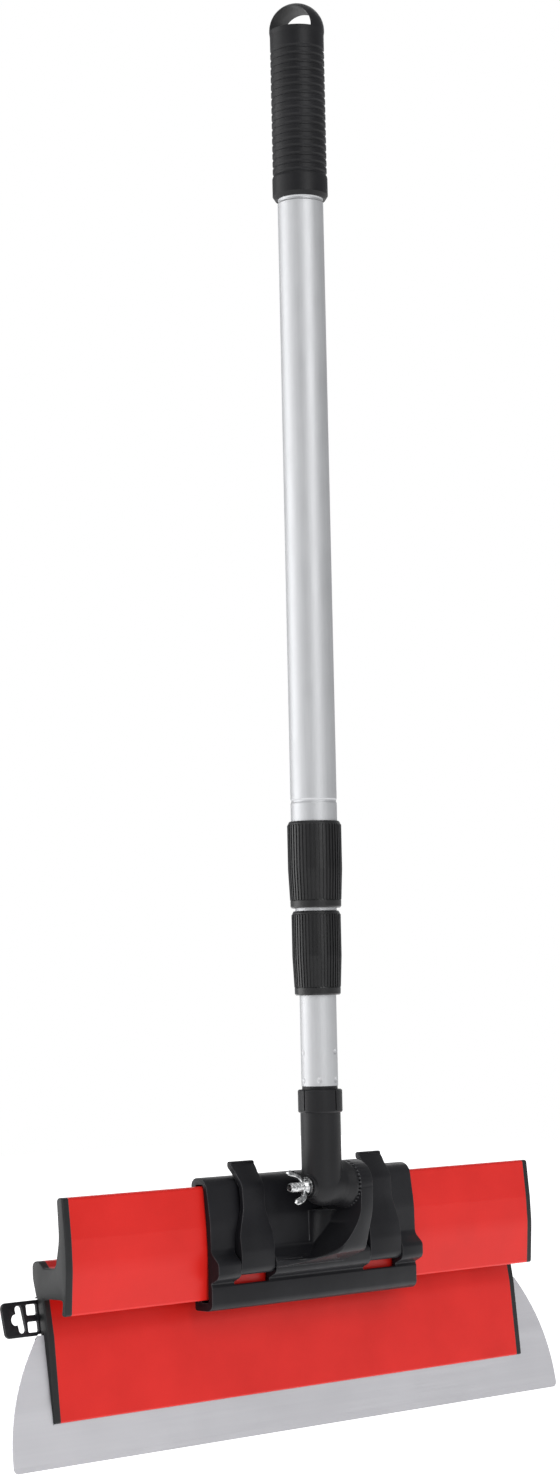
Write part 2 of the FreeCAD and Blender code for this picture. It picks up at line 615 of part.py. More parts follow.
def latch_side_corners():
    """Side view of a lever, from the pin up over the shell's top edge to its thumb tab."""
    front = PIN_Y - ROTOR_RADIUS
    rear = SHELL_FRONT - SHELL_GAP
    bend_y = PLATE_FRONT - 3.0
    bend_z = SHELL_TOP - 6.2
    tab_rear = PLATE_FRONT + 5.3
    tab_foot = SHELL_TOP + 4.6
    slope = V(tab_rear - bend_y, tab_foot - bend_z, 0).normalize()
    outer = V(bend_y, bend_z, 0) + V(-slope.y, slope.x, 0) * LATCH_THICK
    rise = (tab_rear - LATCH_THICK - outer.x) / slope.x
    return [
        (front, BARREL_HEIGHT, 0),
        (front, BARREL_HEIGHT + 8.0, 20.0),
        (rear - LATCH_THICK + 0.2, CREASE_HEIGHT + 4.0, 60.0),
        (outer.x, outer.y, 9.0),
        (tab_rear - LATCH_THICK, outer.y + rise * slope.y, 1.0),
        (tab_rear - LATCH_THICK, LATCH_TOP, 0.6),
        (tab_rear, LATCH_TOP, 0.8),
        (tab_rear, tab_foot, 2.0),
        (bend_y, bend_z, 8.0),
        (rear + 0.1, CREASE_HEIGHT + 4.0, 60.0),
        (rear, BARREL_HEIGHT + 2.0, 0),
        (PIN_Y, BARREL_HEIGHT, 0),
    ]


def latch_front_corners(middle):
    """Front view of a lever: a wide foot, a narrow neck and a slightly wider tab."""
    foot = LATCH_FOOT_WIDTH / 2
    neck = LATCH_NECK_WIDTH / 2
    tab = LATCH_TAB_WIDTH / 2
    right = [
        (foot, BARREL_HEIGHT - 5.0, 0),
        (foot, BARREL_HEIGHT + LATCH_SHOULDER, 12.0),
        (neck, BARREL_HEIGHT + LATCH_NECK, 12.0),
        (neck, LATCH_TOP - 6.0, 3.0),
        (tab, LATCH_TOP - 3.4, 3.0),
        (tab, LATCH_TOP + 0.1, 1.2),
    ]
    left = [(-offset, height, radius) for offset, height, radius in reversed(right)]
    return [(middle + offset, height, radius) for offset, height, radius in right + left]


def make_latch(middle):
    """Lever that turns on its pin and snaps over the top of the shell."""
    low = middle - LATCH_FOOT_WIDTH / 2
    high = middle + LATCH_FOOT_WIDTH / 2
    side_view = along_x(latch_side_corners(), low, high)
    front_view = along_y(latch_front_corners(middle), -60, 20)
    rotor = rod_x(ROTOR_RADIUS, low, high, PIN_Y, BARREL_HEIGHT)
    lever = side_view.common(front_view).fuse(rotor).removeSplitter()
    return lever.cut(rod_x(PIN_RADIUS + PIN_PLAY, low - 1, high + 1, PIN_Y, BARREL_HEIGHT))


def make_latch_pin(middle):
    reach = LATCH_FOOT_WIDTH / 2 + LATCH_SIDE_GAP + PIN_OVERHANG
    return rod_x(PIN_RADIUS, middle - reach, middle + reach, PIN_Y, BARREL_HEIGHT)


# ---- elbow, bolt and wing nut ------------------------------------------------------------
def make_elbow_socket():
    disc_face = JOINT_X - JOINT_GAP / 2 - TOOTH_DEPTH
    flare = disc_face - BRANCH_FLARE
    rim_bottom = SOCKET_TOP - SOCKET_RIM_HEIGHT
    branch = turned_x(
        [(POLE_X, 0), (POLE_X, ELBOW_RADIUS), (flare, ELBOW_RADIUS),
         (flare + BRANCH_FLARE * 0.35, ELBOW_RADIUS + 0.35),
         (flare + BRANCH_FLARE * 0.6, ELBOW_RADIUS + 1.0),
         (disc_face - 1.0, JOINT_RADIUS), (disc_face, JOINT_RADIUS), (disc_face, 0)],
        POLE_Y, PIVOT_HEIGHT,
    )
    body = fused([
        rod_z(ELBOW_RADIUS, PIVOT_HEIGHT, SOCKET_TOP - 1.0),
        Part.makeSphere(ELBOW_RADIUS, V(POLE_X, POLE_Y, PIVOT_HEIGHT)),
        branch,
        joint_teeth(disc_face, disc_face + TOOTH_DEPTH),
        rod_x(BOSS_RADIUS, ELBOW_SIDE - 0.6, POLE_X, POLE_Y, PIVOT_HEIGHT),
        turned_z([(0, rim_bottom), (SOCKET_RIM_RADIUS - 0.5, rim_bottom),
                  (SOCKET_RIM_RADIUS, rim_bottom + 0.6), (SOCKET_RIM_RADIUS, SOCKET_TOP - 0.6),
                  (SOCKET_RIM_RADIUS - 0.6, SOCKET_TOP), (0, SOCKET_TOP)]),
    ])
    grooves = []
    for turn in range(0, 360, 90):
        groove = box(POLE_X - RIM_GROOVE / 2, POLE_X + RIM_GROOVE / 2,
                     POLE_Y - SOCKET_RIM_RADIUS - 1, POLE_Y - SOCKET_RIM_RADIUS + RIM_GROOVE,
                     rim_bottom + 1.2, SOCKET_TOP + 1)
        groove.rotate(V(POLE_X, POLE_Y, 0), V(0, 0, 1), turn)
        grooves.append(groove)
    body = body.cut(grooves)
    flange_bottom = TUBE_END - TIP_FLANGE
    body = body.cut(rod_z(INNER_RADIUS, flange_bottom, SOCKET_TOP + 1))
    body = body.cut(rod_z(SPIGOT_RADIUS, flange_bottom - TIP_SPIGOT - 1.0, flange_bottom + 1))
    return body.cut(rod_x(BOLT_RADIUS + PIN_PLAY, ELBOW_SIDE - 2, JOINT_X, POLE_Y, PIVOT_HEIGHT))


def make_tip_plug():
    """Plastic plug crimped in the tube's end and pressed into the elbow's socket."""
    flange_bottom = TUBE_END - TIP_FLANGE
    spigot_end = flange_bottom - TIP_SPIGOT
    bore = INNER_RADIUS - INNER_WALL
    return turned_z([
        (0, spigot_end), (SPIGOT_RADIUS - 1.0, spigot_end), (SPIGOT_RADIUS, spigot_end + 1.5),
        (SPIGOT_RADIUS, flange_bottom), (INNER_RADIUS - 0.3, flange_bottom),
        (INNER_RADIUS - 0.3, TUBE_END), (bore, TUBE_END), (bore, TUBE_END + TIP_INSIDE),
        (0, TUBE_END + TIP_INSIDE),
    ])


def make_pivot_bolt():
    head_x = EAR_X + EAR_THICK
    head = turned_x([(head_x, 0), (head_x, BOLT_HEAD_RADIUS),
                     (head_x + BOLT_HEAD_THICK * 0.5, BOLT_HEAD_RADIUS * 0.86),
                     (head_x + BOLT_HEAD_THICK, BOLT_HEAD_RADIUS * 0.4),
                     (head_x + BOLT_HEAD_THICK, 0)], POLE_Y, PIVOT_HEIGHT)
    shank = turned_x([(head_x, 0), (head_x, BOLT_RADIUS), (BOLT_END_X + 0.8, BOLT_RADIUS),
                      (BOLT_END_X, BOLT_RADIUS - 0.7), (BOLT_END_X, 0)], POLE_Y, PIVOT_HEIGHT)
    return fused([head, shank])


def washer_span():
    """X of the washer's two faces."""
    inner = ELBOW_SIDE - 0.6 - JOINT_GAP
    return inner - WASHER_THICK, inner


def make_pivot_washer():
    low, high = washer_span()
    disc = rod_x(WASHER_RADIUS, low, high, POLE_Y, PIVOT_HEIGHT)
    return disc.cut(rod_x(BOLT_RADIUS, low - 1, high + 1, POLE_Y, PIVOT_HEIGHT))


def make_wing_nut():
    """Wing nut with a short hub and two wings that bend out over the bolt's free end."""
    base = washer_span()[0] - NUT_GAP
    end = base - NUT_HUB_LENGTH
    hub = turned_x([(base, 0), (base, NUT_HUB_RADIUS), (base - 1.6, NUT_HUB_RADIUS),
                    (end, NUT_HUB_RADIUS - 1.1), (end, 0)], POLE_Y, PIVOT_HEIGHT)
    tip = end - NUT_WING_FLARE
    high = PIVOT_HEIGHT + NUT_WING_SPAN / 2
    inner = high - NUT_WING_WIDTH
    wing = along_y(
        [(base - 0.4, PIVOT_HEIGHT, 0), (base - 0.4, inner, 4.0),
         (base - 4.6, high, 4.0), (tip, high, 1.8), (tip, inner, 1.8),
         (end - 1.6, inner, 2.2), (end, PIVOT_HEIGHT + BOLT_RADIUS, 0), (end, PIVOT_HEIGHT, 0)],
        POLE_Y - NUT_WING_THICK / 2, POLE_Y + NUT_WING_THICK / 2,
    )
    other = wing.copy()
    other.rotate(V(0, POLE_Y, PIVOT_HEIGHT), V(1, 0, 0), 180)
    nut = fused([hub, wing, other])
    nut = nut.cut(rod_x(BOLT_RADIUS + PIN_PLAY, tip - 1, base + 1, POLE_Y, PIVOT_HEIGHT))
    nut.rotate(V(0, POLE_Y, PIVOT_HEIGHT), V(1, 0, 0), NUT_TURN)
    return nut


# ---- telescopic pole ---------------------------------------------------------------------
def make_grip():
    """Grooved grip with a domed end, pierced by a turned hanging hole with a flat floor."""
    points = [(OUTER_RADIUS, GRIP_BOTTOM + 0.4), (OUTER_RADIUS + 0.8, GRIP_BOTTOM),
              (GRIP_RADIUS - 1.4, GRIP_BOTTOM), (GRIP_RADIUS, GRIP_BOTTOM + 2.2),
              (GRIP_RADIUS, GRIP_BOTTOM + GRIP_CUFF - 1.0)]
    crest = GRIP_RADIUS - 0.3
    grooves_low = GRIP_BOTTOM + GRIP_CUFF
    groove_count = int((DOME_CENTRE - GRIP_NECK - grooves_low) / GRIP_PITCH)
    for index in range(groove_count):
        start = grooves_low + index * GRIP_PITCH
        points += [(crest, start), (crest - GRIP_GROOVE, start + 0.6),
                   (crest - GRIP_GROOVE, start + 1.4), (crest, start + 2.2)]
    points += [(crest, DOME_CENTRE - 3.0), (GRIP_RADIUS, DOME_CENTRE - 1.0),
               (GRIP_RADIUS, DOME_CENTRE), (0, DOME_CENTRE), (0, OUTER_TOP),
               (OUTER_RADIUS, OUTER_TOP)]
    dome = Part.makeSphere(GRIP_RADIUS, V(POLE_X, POLE_Y, DOME_CENTRE))
    dome = dome.common(rod_z(GRIP_RADIUS + 1, DOME_CENTRE, POLE_TOP + 1))
    direction = V(math.sin(math.radians(LOOP_TURN)), math.cos(math.radians(LOOP_TURN)), 0)
    start = V(POLE_X, POLE_Y, DOME_CENTRE) - direction * 30
    tunnel = Part.makeCylinder(GRIP_RADIUS - LOOP_BAND, 60, start, direction)
    below_floor = box(POLE_X - 60, POLE_X + 60, POLE_Y - 60, POLE_Y + 60,
                      DOME_CENTRE - 40, LOOP_FLOOR)
    return fused([turned_z(points), dome]).cut(tunnel.cut(below_floor))


def rolled_groove(height):
    """Section points of a rolled groove round the outer tube."""
    return [
        (OUTER_RADIUS, height - BEAD_HALF),
        (OUTER_RADIUS - BEAD_DEPTH, height - BEAD_HALF / 3),
        (OUTER_RADIUS - BEAD_DEPTH, height + BEAD_HALF / 3),
        (OUTER_RADIUS, height + BEAD_HALF),
    ]


def make_outer_tube():
    """Outer tube with a rolled groove above the upper collar and one at the grip's mouth."""
    end = UPPER_COLLAR_TOP - UPPER_COLLAR_HEIGHT + COLLAR_LIP + COLLET_TUBE
    bore = OUTER_RADIUS - OUTER_WALL
    return turned_z([
        (bore, end), (OUTER_RADIUS, end),
        *rolled_groove(UPPER_COLLAR_TOP + BEAD_HEIGHT),
        *rolled_groove(GRIP_BOTTOM - BEAD_HALF + 0.2),
        (OUTER_RADIUS, OUTER_TOP), (bore, OUTER_TOP),
    ])


def make_collet(collar_top, collar_height, tube_radius, passing_radius):
    """Slit collet on the end of one tube that the collar squeezes onto the next."""
    low = collar_top - collar_height + COLLAR_LIP + 0.8
    tube_end = collar_top - collar_height + COLLAR_LIP + COLLET_TUBE
    outer = tube_radius + COLLET_SKIRT
    collet = turned_z([
        (passing_radius + PIN_PLAY, low), (outer - COLLAR_TAPER, low),
        (outer - COLLAR_TAPER, low + 3.0), (outer, tube_end - 3.0),
        (outer, tube_end + COLLET_HOLD), (tube_radius, tube_end + COLLET_HOLD),
        (tube_radius, tube_end), (passing_radius + PIN_PLAY, tube_end),
    ])
    slits = []
    for turn in (0, 45, 90, 135):
        slit = box(POLE_X - 20, POLE_X + 20, POLE_Y - COLLET_SLIT / 2, POLE_Y + COLLET_SLIT / 2,
                   low - 1, tube_end - 4.0)
        slit.rotate(V(POLE_X, POLE_Y, 0), V(0, 0, 1), turn)
        slits.append(slit)
    return collet.cut(slits)


def make_lock_collar(collar_top, collar_height, tube_radius, passing_radius):
    """Ribbed twist-lock collar that draws in towards a smooth lower band."""
    bottom = collar_top - collar_height
    band_top = bottom + COLLAR_LIP
    tube_end = band_top + COLLET_TUBE
    shoulder = tube_end + COLLET_HOLD + 0.6
    bore = tube_radius + COLLET_SKIRT + COLLET_GAP
    outer = bore + COLLAR_WALL
    narrow = outer - COLLAR_TAPER
    root = outer - RIB_DEPTH
    shell = turned_z([
        (passing_radius + TUBE_GAP, bottom), (narrow - 0.8, bottom), (narrow - 0.2, bottom + 0.7),
        (narrow - 0.1, band_top - 0.8), (narrow - RIB_DEPTH, band_top),
        (root, tube_end), (root, collar_top - 1.2), (root - 0.7, collar_top),
        (tube_radius + TUBE_GAP, collar_top), (tube_radius + TUBE_GAP, shoulder),
        (bore, shoulder), (bore, tube_end - 3.0), (bore - COLLAR_TAPER, band_top + 4.0),
        (bore - COLLAR_TAPER, band_top), (passing_radius + TUBE_GAP, band_top),
    ])
    ribbed = turned_z([
        (root - 0.4, tube_end), (narrow - RIB_DEPTH - 0.4, band_top - 0.4),
        (narrow, band_top - 0.2), (outer, tube_end), (outer, collar_top - 2.0),
        (outer - 0.6, collar_top - 1.3), (root - 0.4, collar_top - 1.3),
    ])
    width = 2 * math.pi * outer / COLLAR_RIBS * 0.5
    ribs = []
    for index in range(COLLAR_RIBS):
        rib = box(POLE_X, POLE_X + outer + 1, POLE_Y - width / 2, POLE_Y + width / 2,
                  bottom, collar_top)
        rib.rotate(V(POLE_X, POLE_Y, 0), V(0, 0, 1), index * 360 / COLLAR_RIBS)
        ribs.append(rib.common(ribbed))
    return shell.multiFuse(ribs)


def make_middle_tube():
    end = LOWER_COLLAR_TOP - LOWER_COLLAR_HEIGHT + COLLAR_LIP + COLLET_TUBE
    return ring_z(MIDDLE_RADIUS, MIDDLE_RADIUS - MIDDLE_WALL, end, MIDDLE_TOP)


def make_inner_tube():
    """Inner tube with two rows of round dimples that hold its plug."""
    tube = ring_z(INNER_RADIUS, INNER_RADIUS - INNER_WALL, TUBE_END, INNER_TOP)
    ball = (PUNCH_RADIUS ** 2 + PUNCH_DEPTH ** 2) / (2 * PUNCH_DEPTH)
    away = INNER_RADIUS + ball - PUNCH_DEPTH
    for height, turns in ((17.5, (15, 135, 255)), (3.0, (-45, 15, 75, 135, 195, 255))):
        for turn in turns:
            angle = math.radians(turn)
            centre = V(POLE_X + away * math.sin(angle), POLE_Y - away * math.cos(angle),
                       TUBE_END + height)
            punch = Part.makeSphere(ball, centre)
            tube = tube.cut(punch)
    return tube


def make_guide(tube_radius, tube_wall, top):
    """Plastic guide in a tube's upper end that runs inside the next tube."""
    bore = tube_radius - tube_wall
    runner = tube_radius + TUBE_GAP - PIN_PLAY
    return turned_z([
        (bore - 1.2, top - GUIDE_HEIGHT), (bore, top - GUIDE_HEIGHT), (bore, top),
        (runner, top), (runner, top + GUIDE_FLANGE), (bore - 1.2, top + GUIDE_FLANGE),
    ])


def build():
    """Every node by name."""
    parts = {
        "grip": make_grip(),
        "outer_tube": make_outer_tube(),
        "upper_collet": make_collet(
            UPPER_COLLAR_TOP, UPPER_COLLAR_HEIGHT, OUTER_RADIUS, MIDDLE_RADIUS),
        "upper_lock_collar": make_lock_collar(
            UPPER_COLLAR_TOP, UPPER_COLLAR_HEIGHT, OUTER_RADIUS, MIDDLE_RADIUS),
        "middle_tube": make_middle_tube(),
        "middle_tube_guide": make_guide(MIDDLE_RADIUS, MIDDLE_WALL, MIDDLE_TOP),
        "lower_collet": make_collet(
            LOWER_COLLAR_TOP, LOWER_COLLAR_HEIGHT, MIDDLE_RADIUS, INNER_RADIUS),
        "lower_lock_collar": make_lock_collar(
            LOWER_COLLAR_TOP, LOWER_COLLAR_HEIGHT, MIDDLE_RADIUS, INNER_RADIUS),
        "inner_tube": make_inner_tube(),
        "inner_tube_guide": make_guide(INNER_RADIUS, INNER_WALL, INNER_TOP),
        "tip_plug": make_tip_plug(),
        "elbow_socket": make_elbow_socket(),
        "pivot_bolt": make_pivot_bolt(),
        "pivot_washer": make_pivot_washer(),
        "wing_nut": make_wing_nut(),
        "adapter_shell": make_adapter_shell(),
        "handle_profile": make_profile(),
        "end_cap_left": make_end_cap(-1),
        "end_cap_right": make_end_cap(1),
        "blade": make_blade(),
        "blade_strip": make_blade_strip(),
        "hang_tab": make_hang_tab(),
    }
    for side, middle in LATCH_CENTRES.items():
        parts[f"latch_{side}"] = make_latch(middle)
        parts[f"latch_pin_{side}"] = make_latch_pin(middle)
    return parts


def main():
    os.makedirs("parts", exist_ok=True)
    for name, shape in build().items():
        if not shape.isValid():
            raise ValueError(f"{name} is not a valid shape")
        print(name, len(shape.Solids), round(shape.Volume, 1))
        shape.exportStep(f"parts/{name}.step")


main()
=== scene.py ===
"""Looks for a skimming blade on a telescopic pole: rounded mouldings, machined hardware,
procedural materials, a pale floor and soft studio light. Lengths are in metres."""
import bmesh
import bpy
import json
import math
from mathutils import Matrix, Vector


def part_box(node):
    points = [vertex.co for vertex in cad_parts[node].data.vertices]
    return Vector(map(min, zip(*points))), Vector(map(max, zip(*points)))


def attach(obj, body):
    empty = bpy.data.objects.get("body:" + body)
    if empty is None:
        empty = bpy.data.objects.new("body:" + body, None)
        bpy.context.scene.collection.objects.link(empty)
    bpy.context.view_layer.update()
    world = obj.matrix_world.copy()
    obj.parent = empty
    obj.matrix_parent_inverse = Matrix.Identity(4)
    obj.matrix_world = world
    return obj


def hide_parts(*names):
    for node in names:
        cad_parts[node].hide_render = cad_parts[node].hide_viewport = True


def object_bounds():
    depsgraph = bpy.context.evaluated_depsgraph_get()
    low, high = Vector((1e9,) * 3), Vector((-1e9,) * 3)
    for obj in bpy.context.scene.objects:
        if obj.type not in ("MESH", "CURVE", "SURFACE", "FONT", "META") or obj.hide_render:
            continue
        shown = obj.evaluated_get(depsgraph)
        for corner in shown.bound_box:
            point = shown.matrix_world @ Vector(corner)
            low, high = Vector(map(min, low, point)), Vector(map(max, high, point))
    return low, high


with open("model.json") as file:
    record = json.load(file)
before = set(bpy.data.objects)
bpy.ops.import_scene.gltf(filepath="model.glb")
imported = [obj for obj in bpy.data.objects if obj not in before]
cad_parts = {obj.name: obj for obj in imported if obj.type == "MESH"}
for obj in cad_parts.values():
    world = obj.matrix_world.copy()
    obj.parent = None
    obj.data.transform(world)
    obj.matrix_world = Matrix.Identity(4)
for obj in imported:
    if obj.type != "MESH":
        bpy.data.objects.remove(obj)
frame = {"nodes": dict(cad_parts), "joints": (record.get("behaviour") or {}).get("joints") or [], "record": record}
cad_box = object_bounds()

MM = 0.001

# Places read from the frame.
BOLT_LOW, BOLT_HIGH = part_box("pivot_bolt")
WASHER_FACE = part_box("pivot_washer")[0].x
JOINTS = {joint["name"]: joint for joint in frame["joints"]}
PIVOT = Vector(JOINTS["elbow_tilt"]["pos_m"])

# Rounding of moulded and cut edges, and the angle from which an edge counts as sharp.
ROUND_MOULDED = 0.42 * MM
ROUND_THIN = 0.30 * MM
ROUND_CAP = 0.75 * MM
SHARP_ANGLE = math.radians(34)

# Mesh clean-up: how close two points are to be one, the thinnest step seen on an end cap's
# outer face, and the angle up to which neighbouring triangles lie in one flat.
MERGE = 0.002 * MM
FINE_MERGE = 0.001 * MM
FACE_MARGIN = 0.01 * MM
FLAT_ANGLE = math.radians(0.6)

# The blade's slot through an end cap: its slope from upright, half its width with a margin,
# a height above its top, and the longest edge across its mouth.
SLOT_SLOPE = math.tan(math.radians(8.65))
SLOT_REACH = 0.42 * MM
SLOT_TOP = 70 * MM
SLOT_MOUTH = 0.30 * MM

# The farthest a corner of a cap's rim moves inwards, in widths of the rim.
SHIFT_LIMIT = 1.45

# Width of the painted highlight along the edges of dark mouldings, and its colour.
EDGE_HIGHLIGHT_WIDTH = 0.45 * MM
PAINTED_EDGE_HIGHLIGHT = (0.11, 0.11, 0.115, 1.0)

# Pivot bolt: an M5 thread, and a domed head on a short neck.
THREAD_RADIUS = 2.5 * MM
THREAD_PITCH = 0.8 * MM
THREAD_DEPTH = 0.36 * MM
THREAD_LENGTH = 14.0 * MM
THREAD_TIP = 0.9 * MM
TIP_CHAMFER = 0.65 * MM
HEAD_HEIGHT = 3.2 * MM
HEAD_EDGE = 0.7 * MM
HEAD_DOME = 2.5 * MM
BOLT_SHARP = math.radians(50)

# Wing nut: its gap to the washer, its hub, its wings' centre line as (from the hub's base,
# from the bolt's axis), and the turn at which it stands.
NUT_GAP = 0.1 * MM
NUT_HUB = 3.4 * MM
NUT_BORE = THREAD_RADIUS + 0.05 * MM
NUT_SHARP = math.radians(40)
WING_ROUTE = ((-2.0, 1.0), (-2.0, 5.4), (-4.4, 7.2), (-11.0, 8.1))
WING_ROUND = 0.78              # where along the wing its round tip starts
WING_SQUARE = 0.62             # 1 gives an oval section, 0 a square one
WING_TURN = math.radians(-21.5)

# Stage: the floor lies below the blade even with both sections of the pole drawn out.
FLOOR_DROP = 0.80
FLOOR_HALF = 14.0

# Soft boxes: azimuth (0 is the -Y side) and elevation in degrees, distance, size, power.
SOFTBOXES = {
    "key_softbox": (-14, 26, 2.4, (1.1, 2.0), 27),
    "fill_softbox": (-96, 18, 2.6, (1.4, 2.0), 9),
    "side_softbox": (-138, 8, 2.2, (1.6, 2.0), 30),
    "top_softbox": (-60, 82, 2.4, (2.4, 2.4), 14),
    "rear_softbox": (130, 30, 2.8, (1.6, 2.0), 12),
}

# Camera.
CAMERA_PLACE = Vector((-1129.8, -1144.1, 230.1)) * MM
CAMERA_FORWARD = Vector((0.6968, 0.7124, 0.0832))
CAMERA_UP = Vector((-0.0430, -0.0742, 0.9963))
CAMERA_LENS = 73.2


# ---- node helpers --------------------------------------------------------------------------
class Graph:
    """A material's node tree with short calls for the nodes that this file uses."""

    def __init__(self, name):
        self.material = bpy.data.materials.new(name)
        self.material.use_nodes = True
        self.nodes = self.material.node_tree.nodes
        self.links = self.material.node_tree.links
        self.shader = self.nodes["Principled BSDF"]
        self.place = self.add("ShaderNodeTexCoord").outputs["Object"]

    def add(self, kind, **settings):
        node = self.nodes.new(kind)
        for name, value in settings.items():
            setattr(node, name, value)
        return node

    def link(self, source, target):
        self.links.new(source, target)

    def set(self, socket, value):
        self.shader.inputs[socket].default_value = value

    def stretched(self, scale):
        """Object coordinates scaled along each axis."""
        mapping = self.add("ShaderNodeMapping")
        mapping.inputs["Scale"].default_value = scale
        self.link(self.place, mapping.inputs["Vector"])
        return mapping.outputs["Vector"]

    def noise(self, scale, detail=3.0, roughness=0.55, vector=None):
        node = self.add("ShaderNodeTexNoise")
        node.inputs["Scale"].default_value = scale
        node.inputs["Detail"].default_value = detail
        node.inputs["Roughness"].default_value = roughness
        self.link(vector or self.place, node.inputs["Vector"])
        return node.outputs["Fac"]

    def spread(self, value, low, high, from_low=0.3, from_high=0.7):
        """Maps a noise value onto a range."""
        node = self.add("ShaderNodeMapRange")
        node.inputs["From Min"].default_value = from_low
        node.inputs["From Max"].default_value = from_high
        node.inputs["To Min"].default_value = low
        node.inputs["To Max"].default_value = high
        self.link(value, node.inputs["Value"])
        return node.outputs["Result"]

    def ramp(self, value, stops):
        """Colour from a value, by (position, colour) stops."""
        node = self.add("ShaderNodeValToRGB")
        ramp = node.color_ramp
        while len(ramp.elements) < len(stops):
            ramp.elements.new(0.5)
        for element, (position, colour) in zip(ramp.elements, stops):
            element.position = position
            element.color = (*colour, 1.0)
        self.link(value, node.inputs["Fac"])
        return node.outputs["Color"]

    def mixed(self, factor, first, second, blend="MIX"):
        node = self.add("ShaderNodeMix", data_type="RGBA", blend_type=blend)
        for socket, value in (("Factor", factor), ("A", first), ("B", second)):
            target = next(s for s in node.inputs if s.name == socket and s.enabled)
            if isinstance(value, bpy.types.NodeSocket):
                self.link(value, target)
            else:
                target.default_value = value
        return next(s for s in node.outputs if s.enabled)

    def math(self, operation, first, second):
        node = self.add("ShaderNodeMath", operation=operation)
        for target, value in zip(node.inputs, (first, second)):
            if isinstance(value, bpy.types.NodeSocket):
                self.link(value, target)
            else:
                target.default_value = value
        return node.outputs["Value"]

    def edges(self, radius, low=0.006, high=0.05):
        """1 along outer and inner edges, 0 on open faces."""
        rounded = self.add("ShaderNodeBevel", samples=6)
        rounded.inputs["Radius"].default_value = radius
        true = self.add("ShaderNodeNewGeometry")
        facing = self.add("ShaderNodeVectorMath", operation="DOT_PRODUCT")
        self.link(rounded.outputs["Normal"], facing.inputs[0])
        self.link(true.outputs["Normal"], facing.inputs[1])
        return self.spread(self.math("SUBTRACT", 1.0, facing.outputs["Value"]),
                           0.0, 1.0, low, high)

    def bump(self, height, distance, strength=1.0, under=None):
        node = self.add("ShaderNodeBump")
        node.inputs["Strength"].default_value = strength
        node.inputs["Distance"].default_value = distance
        self.link(height, node.inputs["Height"])
        if under is not None:
            self.link(under, node.inputs["Normal"])
        return node.outputs["Normal"]


def shades(colour, *factors):
    """The same colour at several brightnesses."""
    return [tuple(min(channel * factor, 1.0) for channel in colour) for factor in factors]


def moulded_plastic(name, colour, roughness, grain=0.32, depth=0.030, gloss=0.5, edge_highlight_strength=1.0):
    """Satin moulded plastic: fine spark-eroded grain, cloudy sheen and a painted highlight along its edges."""
    g = Graph(name)
    dark, plain, light = shades(colour, 0.82, 1.0, 1.28)
    cloud = g.noise(55.0, 4.0, 0.6)
    speckle = g.noise(1.0 / (grain * MM), 2.0, 0.5)
    base = g.ramp(cloud, [(0.30, dark), (0.52, plain), (0.74, light)])
    flecks = g.spread(speckle, 0.90, 1.12)
    grained = g.mixed(1.0, base, flecks, "MULTIPLY")
    # Painted highlight: edges are lightened towards a pale grey, more strongly where the cloud noise is high.
    edge_highlight_mask = g.math("MULTIPLY", g.edges(EDGE_HIGHLIGHT_WIDTH), g.spread(cloud, 0.15 * edge_highlight_strength, 0.75 * edge_highlight_strength))
    g.link(g.mixed(edge_highlight_mask, grained, PAINTED_EDGE_HIGHLIGHT), g.shader.inputs["Base Color"])
    smear = g.noise(1.0, 3.0, 0.6, g.stretched((90.0, 90.0, 26.0)))
    rough = g.math("ADD", g.spread(smear, -0.05, 0.06), g.spread(speckle, -0.03, 0.03))
    g.link(g.math("ADD", rough, roughness), g.shader.inputs["Roughness"])
    flow = g.bump(g.noise(170.0, 3.0, 0.5), 0.06 * MM)
    g.link(g.bump(speckle, depth * MM, under=flow), g.shader.inputs["Normal"])
    g.set("Specular IOR Level", gloss)
    return g.material


def anodised_tube():
    """Silver anodised aluminium, drawn along its length, with faint handling marks."""
    g = Graph("anodised_tube")
    drawn = g.noise(1.0, 3.0, 0.65, g.stretched((5200.0, 5200.0, 26.0)))
    broad = g.noise(1.0, 2.0, 0.5, g.stretched((900.0, 900.0, 9.0)))
    cloud = g.noise(38.0, 4.0, 0.6)
    base = g.ramp(drawn, [(0.28, (0.405, 0.41, 0.42)), (0.5, (0.44, 0.445, 0.455)),
                          (0.72, (0.475, 0.48, 0.49))])
    g.link(g.mixed(0.25, base, g.ramp(cloud, [(0.35, (0.415, 0.42, 0.43)),
                                              (0.65, (0.465, 0.47, 0.48))])),
           g.shader.inputs["Base Color"])
    rough = g.math("ADD", g.spread(drawn, -0.05, 0.06), g.spread(cloud, -0.03, 0.04))
    g.link(g.math("ADD", rough, 0.50), g.shader.inputs["Roughness"])
    lines = g.bump(drawn, 0.004 * MM, 0.8)
    g.link(g.bump(broad, 0.008 * MM, 0.6, under=lines), g.shader.inputs["Normal"])
    g.set("Metallic", 0.8)
    g.set("Anisotropic", 0.2)
    return g.material


def red_handle():
    """Red powder-coated extrusion: fine orange peel over faint draw lines."""
    g = Graph("red_handle")
    cloud = g.noise(26.0, 4.0, 0.55)
    base = g.ramp(cloud, [(0.30, (0.505, 0.0095, 0.0055)), (0.5, (0.545, 0.011, 0.007)),
                          (0.72, (0.580, 0.013, 0.0085))])
    flakes = g.spread(g.noise(4200.0, 2.0, 0.5), 0.95, 1.05)
    g.link(g.mixed(1.0, base, flakes, "MULTIPLY"), g.shader.inputs["Base Color"])
    peel = g.noise(1150.0, 2.0, 0.5)
    draw = g.noise(1.0, 3.0, 0.6, g.stretched((7.0, 1500.0, 1500.0)))
    rough = g.math("ADD", g.spread(cloud, -0.04, 0.05), g.spread(peel, -0.03, 0.03))
    g.link(g.math("ADD", rough, 0.40), g.shader.inputs["Roughness"])
    lines = g.bump(draw, 0.016 * MM, 0.7)
    g.link(g.bump(peel, 0.020 * MM, 0.8, under=lines), g.shader.inputs["Normal"])
    g.set("Specular IOR Level", 0.27)
    g.set("Coat Weight", 0.06)
    g.set("Coat Roughness", 0.28)
    return g.material


